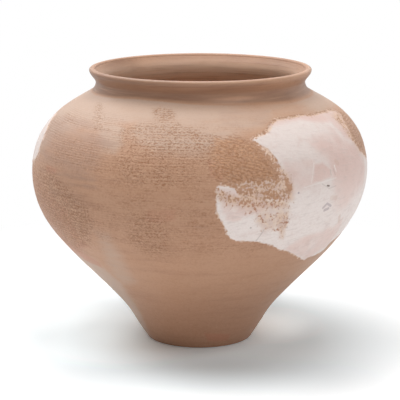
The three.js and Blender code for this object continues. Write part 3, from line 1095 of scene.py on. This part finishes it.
def filled_outline(outline, step):
    """Points and triangles that fill a closed map outline, its own points first."""
    low = outline.min(axis=0)
    high = outline.max(axis=0)
    rows = np.arange(low[1], high[1], step * math.sqrt(3) / 2)
    spots = np.array([
        (u, v)
        for n, v in enumerate(rows)
        for u in np.arange(low[0] + n % 2 * step / 2, high[0], step)
    ])
    spots = spots[edge_distance(spots, outline) > step * EDGE_CLEAR]
    points = np.concatenate([outline, spots])
    loop = [list(range(len(outline)))]
    result = delaunay_2d_cdt([Vector(p) for p in points], [], loop, 1, WELD)
    return np.array([v[:] for v in result[0]]), [tuple(face) for face in result[2]]


def lumps(points):
    """The plaster's uneven top, as it was smeared on."""
    flat = np.column_stack([points, np.zeros(len(points))])
    total = sum(
        height * value_noise(flat, size, seed) for seed, (height, size) in enumerate(PLASTER_LUMPS, 50)
    )
    for azimuth, height, radius, depth in DENTS:
        away = np.linalg.norm(points - on_map(azimuth, height), axis=1)
        total = total - depth * (1 - smooth_step(away, 0, radius))
    return total


def rise(depth_inside):
    """EDGE_RISE at a layer's edge and 1 away from it, so that its edge is rounded."""
    return EDGE_RISE + (1 - EDGE_RISE) * smooth_step(depth_inside, 0, FULL_RISE)


def raised(places, proud, depth_inside):
    """How far a layer's uneven top is off the plain wall before another layer covers it."""
    return (proud + lumps(places.points)) * rise(depth_inside)


def pink_faces(places):
    """How far the pink fill's top and bottom are off the plain wall."""
    under_white = bed(places.white, WHITE_THICKNESS + BEDDING_GAP)
    top = raised(places, PINK_PROUD, places.plaster) - under_white
    return top, -bed(places.plaster, BED_DEPTH) - BEDDING_GAP / 2


def white_faces(places):
    """How far the white skim's top and bottom are off it."""
    pink = raised(places, PINK_PROUD, places.plaster)
    bottom = pink - bed(places.white, WHITE_THICKNESS) + BEDDING_GAP / 2
    return pink + WHITE_OVER * rise(places.white), bottom


def left_faces(places):
    """How far the left patch's top and bottom are off it."""
    top = raised(places, LEFT_PROUD, places.left)
    return top, -bed(places.left, LEFT_DEPTH) - BEDDING_GAP / 2


def layer_piece(name, node, outline, faces_of, material):
    """A layer of plaster between two offsets from the wall."""
    flat, triangles = filled_outline(outline, PLASTER_STEP)
    count = len(flat)
    places = Places(flat)
    verts = np.concatenate([on_wall(flat, off) for off in faces_of(places)])
    edges = {edge for a, b, c in triangles for edge in ((a, b), (b, c), (c, a))}
    faces = triangles + [(c + count, b + count, a + count) for a, b, c in triangles]
    rim = [(a, b) for a, b in edges if (b, a) not in edges]
    faces += [(b, a, a + count, b + count) for a, b in sorted(rim)]
    piece = make_mesh(name, verts, faces, material)
    for share, values in finish_shares(places).items():
        set_attribute(piece, share, np.tile(values, 2))
    chart = np.column_stack([flat, line_phase(flat)])
    set_attribute(piece, "map", np.tile(chart, (2, 1)))
    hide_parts(node)


# Materials

CLAY = srgb(189, 146, 117)
CLAY_PALE = srgb(195, 154, 127)
CLAY_DEEP = srgb(168, 124, 98)
CLAY_WORN = srgb(200, 150, 112)
CLAY_CRUMB = srgb(208, 166, 136)
# the pale film's colour, also used for the painted highlight on the rim's crest
FILM_AND_HIGHLIGHT = srgb(191, 165, 147)
CLAY_BLUSH = srgb(188, 132, 106)
CLAY_VIOLET = srgb(170, 139, 122)
CLAY_DOT = srgb(154, 104, 69)
CLAY_CHIP = srgb(216, 180, 151)
CLAY_INSIDE = srgb(203, 170, 146)
CLAY_DEPTHS = srgb(226, 202, 184)
CLAY_RING = srgb(140, 98, 78)
PAINTED_SHADE_TINT = srgb(208, 205, 204)  # painted shade: the clay is multiplied by this where shade is painted
SPECK_DARK = srgb(110, 78, 62)
SPECK_PALE = srgb(225, 195, 172)
PLASTER_WHITE = srgb(226, 213, 207)
PLASTER_BRIGHT = srgb(242, 231, 226)  # low on the patch
PLASTER_PINK = srgb(220, 192, 183)
PINK_BRIGHT = srgb(236, 212, 204)
PLASTER_ROSE = srgb(208, 178, 168)
PLASTER_SHADOW = srgb(205, 190, 184)
MINGLED_ROSE = srgb(210, 178, 162)
MINGLED_CREAM = srgb(222, 190, 164)

# Each noise: the size of its largest features in millimetres, its detail and its roughness
NOISES = {
    "cloud": (60, 3, 0.55), "streak": (6, 4, 0.65), "mottle": (20, 6, 0.75), "film": (5, 4, 0.7),
    "crumbs": (3, 4, 0.75), "dashes": (1, 2, 0.6), "grain": (2.4, 4, 0.8), "chips": (2, 2, 0.55),
    "rings": (3.6, 4, 0.7), "pink": (24, 3, 0.5), "strokes": (1, 3, 0.6), "paste": (1.8, 3, 0.65),
    "smear": (13, 4, 0.6), "specks": (2.3, 3, 0.75), "clumps": (11, 2, 0.5), "cream": (4, 2, 0.55),
    "wear": (9, 3, 0.55),
}
# How much noise is added to each
SHAKES = {
    "film_and_highlight": 0.5, "blush": 0.8, "violet": 0.8, "worn": 0.65, "crumbs": 2.0, "painted_shade": 0.7, "pink": 1.2,
    "specks": 3.0, "clumps": 1.2, "mark": 1.0, "roughness": 0.16,
}
# Each fade: from and to which value, and what it gives at both where that isn't 0 and 1. The foot's
# and the upper plaster's are distances up the wall, and the depths' are down the inside.
FADES = {
    "foot": (112, 60, 0, 0.26), "high": (185, 235), "depths": (-25, -80),
    "cloud": (0.35, 0.75, 0, 0.5), "streak": (0.45, 0.8, 0, 0.5), "film_and_highlight": (0.2, 0.9, 0, 0.9),
    "blush": (0.3, 0.8, 0, 0.7), "violet": (0.3, 0.8, 0, 0.7), "painted_shade": (0, 1.7, 0, 1.7),
    "worn": (0.2, 0.95), "crumbs": (0.6, 1.15), "crumbs on the slant": (0, 1, 0.5, 0.8),
    "groove": (-0.2, -1), "dashes": (0.56, 0.67), "any dashes": (0, 0.7), "rubbed": (0, 1, 1, 0.2),
    "pits on the slant": (0, 1, 0.85, 0.65), "grit": (0, 1, 0.45, 1), "dots": (0.48, 0.72, 0, 0.6),
    "flecks": (0.52, 0.32, 0, 0.7), "chips": (0.5, 0.66), "chips on the slant": (0, 1, 0.45, 0.25),
    "spot": (0.1, 0.05, 0, 0.5), "clay inside": (0.4, 0.8, 0, 0.5),
    "dark rings": (0.5, 0.7, 0, 0.6), "pale rings": (0.45, 0.3, 0, 0.5),
    "pink": (0.1, 1), "strokes": (0.48, 0.75, 0, 0.4), "rosy grain": (0.35, 0.8, 0, 0.2),
    "rosy smears": (0.5, 0.75, 0, 0.35), "mingled": (0, 0.45, 0, 0.8), "cream": (0.4, 0.6),
    "specks": (0.38, 0.62), "only clay": (0.93, 0.995), "any clay": (0.01, 0.06),
}
# The bumps' heights in millimetres
BUMPS = {
    "lines": 0.05, "rings": 0.5, "groove": -0.02, "pits": -0.25, "streak": 0.15, "clay": 0.06,
    "gritty": 0.24, "worn": 0.55, "strokes": 0.35, "paste": 0.16, "smear": 0.5, "speck": -0.06,
}

LEVEL = (0.12, 0.12, 1)  # places measured so that noise is drawn out round the vase
CRUMB_LEVEL = (0.6, 0.6, 1)
RING_LEVEL = (0.03, 0.03, 1)
SPECK_UPRIGHT = (1, 0.7, 0)  # and, on the map, drawn out upwards
FLAT = (1, 1, 0)
DASH = (2.0, 1.4)  # length and height of the pits' noise where they follow the throwing lines
SLANTED_DASH = (3.2, 1.6)  # and beside the plaster, where they run down to the right
SLANTED_TILT = -19
ROW_PITCH = 3.1
ROW_PULL = 0.052  # how strongly the dashes keep to their rows
DASH_SHARE = 0.12  # and how many more of them wear brings
FAINT_DASHES = 0.4  # how many there are along the throwing lines on sound clay
# painted shade in the throwing lines' grooves, as a share of CLAY_DEEP
GROOVE_SHADE = 0.3
FILM_SMOOTHS = 0.6  # how much of the grit the film hides
SPOT_PITCH = 8
DARK_SPOTS = 0.22  # share of the spots that are dark, and from which share up they are pale
PALE_SPOTS = 0.8
STROKES_DOWN = -24  # degrees of the trowel's strokes, high and low on the plaster
STROKES_UP = 27
STROKE = (34, 3.4)  # length and width of a stroke's noise
MARK_EDGE = (0.5, -0.3)  # how far from a mark's radius it fades out and is full
CLAY_ROUGHNESS = 0.5
PLASTER_ROUGHNESS = 0.6
# roughness taken off where shade is painted
PAINTED_SHADE_POLISH = -0.06
SPECULAR = 0.4

# Marks on the plaster: colour, then for each its strength, radius and places
MARKS = [
    (srgb(98, 72, 60), [
        (0.9, 0.6, [(45.6, 170.3), (46.3, 169.8)]),
        (0.2, 0.35, [(43, 172.8), (46.4, 167.4), (49.9, 168.4)]),
        (0.2, 0.4, [(47.3, 183.8), (47.5, 179)]),
        (0.2, 0.4, [(49, 184), (49.7, 178.5)]),
        (0.3, 0.35, [(19.7, 126.5), (20.9, 132.6), (21.8, 138)]),
        (0.5, 0.6, [(17, 140.2)]),
    ]),
    (srgb(160, 138, 146), [
        (0.48, 1.0, [(44.4, 150.3), (46.1, 153.6), (48.3, 150.4)]),
        (0.48, 1.3, [(45.4, 147.6), (47.2, 148.5)]),
        (0.7, 0.8, [(33, 168.3)]),
        (0.5, 0.7, [(30.2, 137.3)]),
    ]),
    (srgb(242, 234, 230), [
        (0.8, 0.4, [(49.8, 187), (50.4, 181)]),
        (0.35, 0.45, [(40.2, 192), (38.2, 176)]),
        (0.45, 0.4, [(35.2, 172.4), (41.1, 174), (50, 175.6)]),
        (0.3, 2.6, [(11.2, 158.6)]),
    ]),
    (srgb(206, 172, 152), [
        (0.3, 2.0, [(51, 190), (52, 187.5)]),
        (0.25, 2.2, [(48, 158), (50.5, 157)]),
        (0.35, 1.8, [(56, 137), (57.5, 131)]),
    ]),
]


def segment_distance(nodes, chart, start, end):
    """How far map places are from a straight mark, or from a dot where both its ends are one."""
    side = end - start
    away = nodes.vector("SUBTRACT", nodes.scaled(chart, *FLAT), (*start, 0))
    if not side.any():
        return nodes.vector("LENGTH", away)
    share = nodes.vector("DOT_PRODUCT", away, (*(side / (side @ side)), 0))
    share = nodes.math("MINIMUM", nodes.most(share, 0.0), 1.0)
    return nodes.vector("DISTANCE", away, nodes.vector("MULTIPLY", (*side, 0), share))


def marked(nodes, tone, chart, rough):
    """The tone with the marks drawn on it, their edges shaken by rough noise."""
    for colour, marks in MARKS:
        shown = 0.0
        for strength, radius, outline in marks:
            points = polygon(outline)
            ends = zip(points[:-1], points[1:]) if len(points) > 1 else [(points[0], points[0])]
            gone, full = (radius + step for step in MARK_EDGE)
            for start, end in ends:
                distance = nodes.shaken(segment_distance(nodes, chart, start, end), rough, "mark")
                shown = nodes.most(shown, nodes.fade(distance, gone, full, 0.0, strength))
        tone = nodes.mix(shown, tone, colour)
    return tone


def dashes(nodes, place, across, share):
    """Short dark dashes in rows, more of them where the share is high. Each is about half a unit
    long and high in place, and a row is where across is a whole number."""
    rows = nodes.math("COSINE", across * math.tau)
    level = nodes.noise(place, "dashes") + rows * ROW_PULL + share * DASH_SHARE
    return nodes.shown(level, "dashes") * nodes.shown(share, "any dashes")


def pitted(nodes, chart, phase, rough, slant):
    """The pits of worn clay, in dashes along the throwing lines or down to the right."""
    level = dashes(nodes, nodes.turned(chart, 0, *DASH), phase * (LINE_PITCH / ROW_PITCH), rough)
    place = nodes.turned(chart, SLANTED_TILT, *SLANTED_DASH)
    across = nodes.part(place, 1) * (SLANTED_DASH[1] / ROW_PITCH)
    pits = level * (1 - slant) + dashes(nodes, place, across, rough) * slant
    return pits * nodes.shown(nodes.attribute("rubbed"), "rubbed")


def clay_surface(nodes, place, chart):
    """The clay's colour, and its height for the bump in millimetres."""
    along = nodes.part(chart, 1)
    phase = nodes.part(chart, 2)
    level = nodes.scaled(place, *LEVEL)
    lines = nodes.attribute("lines")
    slant = nodes.attribute("slant")
    inner = nodes.attribute("inner")

    streak = nodes.noise(level, "streak")
    mottle = nodes.noise(place, "mottle")
    tone = nodes.mix(nodes.shown(nodes.noise(place, "cloud"), "cloud"), CLAY, CLAY_PALE)
    tone = nodes.mix(nodes.shown(streak, "streak"), tone, CLAY_DEEP)
    tone = nodes.mix(nodes.shown(along, "foot"), tone, CLAY_DEEP)
    # The pale film, and the painted highlight on the rim's crest
    tone = nodes.mix(nodes.zone("film_and_highlight", nodes.noise(level, "film")), tone, FILM_AND_HIGHLIGHT)
    tone = nodes.mix(nodes.zone("blush", mottle), tone, CLAY_BLUSH)
    tone = nodes.mix(nodes.zone("violet", streak), tone, CLAY_VIOLET)

    worn = nodes.zone("worn", mottle)
    crumbs = nodes.noise(nodes.scaled(place, *CRUMB_LEVEL), "crumbs")
    crumbs = nodes.shown(nodes.shaken(worn, crumbs, "crumbs"), "crumbs")
    orange = nodes.most(slant, nodes.attribute("blush"))
    crumb = nodes.mix(orange, CLAY_CRUMB, CLAY_WORN)
    tone = nodes.mix(crumbs * nodes.shown(slant, "crumbs on the slant"), tone, crumb)
    wave = nodes.math("SINE", phase * math.tau)
    groove = nodes.shown(wave, "groove") * lines
    # Painted shade in the grooves of the throwing lines
    tone = nodes.mix(groove * GROOVE_SHADE, tone, CLAY_DEEP)
    pits = pitted(nodes, chart, phase, nodes.most(worn, lines * FAINT_DASHES), slant)
    tone = nodes.mix(pits * nodes.shown(slant, "pits on the slant"), tone, CLAY_DOT)

    turned = nodes.most(nodes.attribute("painted_shade"), inner)
    smooth = nodes.most(turned, nodes.attribute("film_and_highlight") * FILM_SMOOTHS)
    gritty = (1 - smooth) * nodes.shown(nodes.most(lines, worn), "grit")
    grain = nodes.noise(place, "grain")
    tone = nodes.mix(nodes.shown(grain, "dots") * gritty, tone, CLAY_DOT)
    tone = nodes.mix(nodes.shown(grain, "flecks") * gritty, tone, CLAY_PALE)
    chips = nodes.shown(nodes.noise(place, "chips"), "chips") * worn
    tone = nodes.mix(chips * nodes.shown(slant, "chips on the slant"), tone, CLAY_CHIP)
    cells = {"Vector": place, "Scale": 1 / SPOT_PITCH}
    distance = nodes.add("ShaderNodeTexVoronoi", cells, "Distance")
    chosen = nodes.add("ShaderNodeSeparateColor", {0: distance.beside("Color")})
    spot = nodes.shown(distance, "spot") * gritty
    tone = nodes.mix(spot * nodes.math("LESS_THAN", chosen, DARK_SPOTS), tone, SPECK_DARK)
    tone = nodes.mix(spot * nodes.math("GREATER_THAN", chosen, PALE_SPOTS), tone, SPECK_PALE)

    deep = nodes.mix(nodes.shown(along, "depths"), CLAY_INSIDE, CLAY_DEPTHS)
    tone = nodes.mix(inner, tone, nodes.mix(nodes.shown(streak, "clay inside"), deep, CLAY))
    # Painted shade, multiplied in: on the neck and inside under the rim, with painted highlights left out,
    # and a darker stretch on the belly
    tone = nodes.mix(nodes.zone("painted_shade", streak), tone, PAINTED_SHADE_TINT, "MULTIPLY")
    rings = nodes.noise(nodes.scaled(place, *RING_LEVEL), "rings")
    tone = nodes.mix(nodes.shown(rings, "dark rings") * turned, tone, CLAY_RING)
    tone = nodes.mix(nodes.shown(rings, "pale rings") * turned, tone, CLAY_PALE)

    rough = BUMPS["clay"] + gritty * BUMPS["gritty"] + worn * BUMPS["worn"]
    height = wave * lines * BUMPS["lines"] + rings * turned * BUMPS["rings"]
    height = height + groove * BUMPS["groove"] + pits * BUMPS["pits"]
    height = height + (grain - 0.5) * rough + (streak - 0.5) * BUMPS["streak"]
    return tone, height


def plaster_surface(nodes, place, chart):
    """The plaster's colour, and its height for the bump in millimetres."""
    high = nodes.shown(nodes.part(chart, 1), "high")
    tone = nodes.mix(high, PLASTER_BRIGHT, PLASTER_WHITE)
    pink = nodes.zone("pink", nodes.noise(place, "pink"))
    tone = nodes.mix(pink, tone, nodes.mix(high, PINK_BRIGHT, PLASTER_PINK))
    down = nodes.noise(nodes.turned(chart, STROKES_DOWN, *STROKE), "strokes")
    up = nodes.noise(nodes.turned(chart, STROKES_UP, *STROKE), "strokes")
    strokes = down * high + up * (1 - high)
    tone = nodes.mix(nodes.shown(strokes, "strokes"), tone, PLASTER_SHADOW)

    grain = nodes.noise(place, "paste")
    smear = nodes.noise(place, "smear")
    tone = nodes.mix(nodes.shown(grain, "rosy grain"), tone, PLASTER_ROSE)
    tone = nodes.mix(nodes.shown(smear, "rosy smears"), tone, PLASTER_ROSE)
    tone = marked(nodes, tone, chart, grain)
    height = (strokes - 0.5) * BUMPS["strokes"] + (grain - 0.5) * BUMPS["paste"]
    return tone, height + (smear - 0.5) * BUMPS["smear"]


def specks(nodes, chart, share):
    """How much clay shows, in small upright strokes where clay and plaster mingle."""
    grain = nodes.noise(nodes.scaled(chart, *SPECK_UPRIGHT), "specks")
    clumps = nodes.noise(nodes.scaled(chart, *FLAT), "clumps")
    level = nodes.shaken(nodes.shaken(share, grain, "specks"), clumps, "clumps")
    clay = nodes.most(nodes.shown(level, "specks"), nodes.shown(share, "only clay"))
    return clay * nodes.shown(share, "any clay")


def make_surface(name, plaster, roughness):
    """Fired clay, or plaster with clay showing through it in specks near its edge."""
    material, nodes = new_material(name)
    in_mm = 1 / MM
    place = nodes.scaled(nodes.add("ShaderNodeTexCoord", output="Object"), in_mm, in_mm, in_mm)
    chart = nodes.add("ShaderNodeAttribute", output="Vector", attribute_name="map")
    share = nodes.attribute("clay_share")
    clay, clay_height = clay_surface(nodes, place, chart)
    paste, paste_height = plaster_surface(nodes, place, chart)
    mingled = nodes.mix(nodes.shown(nodes.noise(place, "cream"), "cream"), MINGLED_ROSE, MINGLED_CREAM)
    paste = nodes.mix(nodes.shown(share, "mingled"), paste, mingled)
    speck = specks(nodes, chart, share)
    height = (paste_height if plaster else clay_height) + speck * BUMPS["speck"]
    bump = nodes.add("ShaderNodeBump", {"Strength": 1.0, "Distance": MM, "Height": height})
    wear = nodes.shaken(roughness, nodes.noise(place, "wear"), "roughness")
    shader = {
        "Base Color": nodes.mix(speck, paste, clay),
        "Roughness": wear + nodes.attribute("painted_shade") * PAINTED_SHADE_POLISH,
        "Specular IOR Level": SPECULAR,
        "Normal": bump,
    }
    nodes.finish(nodes.add("ShaderNodeBsdfPrincipled", shader))
    return material


clay_material = make_surface("terracotta", False, CLAY_ROUGHNESS)
pink_material = make_surface("pink plaster", True, PLASTER_ROUGHNESS)
white_material = make_surface("white plaster", True, PLASTER_ROUGHNESS)

base_piece(clay_material)
for name, node, lower, upper in (
    ("foot_clay", "foot_wall", "floor", "foot"),
    ("belly_clay", "belly_wall", "foot", "belly"),
    ("shoulder_clay", "shoulder_wall", "belly", "neck"),
    ("collar_clay", "neck_and_rim", "neck", "crest"),
):
    wall_piece(name, node, lower, upper, clay_material)
for name, node, slot, outline, faces_of, material in (
    ("pink_fill", "pink_plaster_fill", "pink_plaster", plaster_edge, pink_faces, pink_material),
    ("white_skim", "white_plaster_skim", "white_plaster", white_edge, white_faces, white_material),
    ("left_patch", "left_plaster_patch", "white_plaster", left_edge, left_faces, white_material),
):
    layer_piece(name, node, outline, faces_of, material)
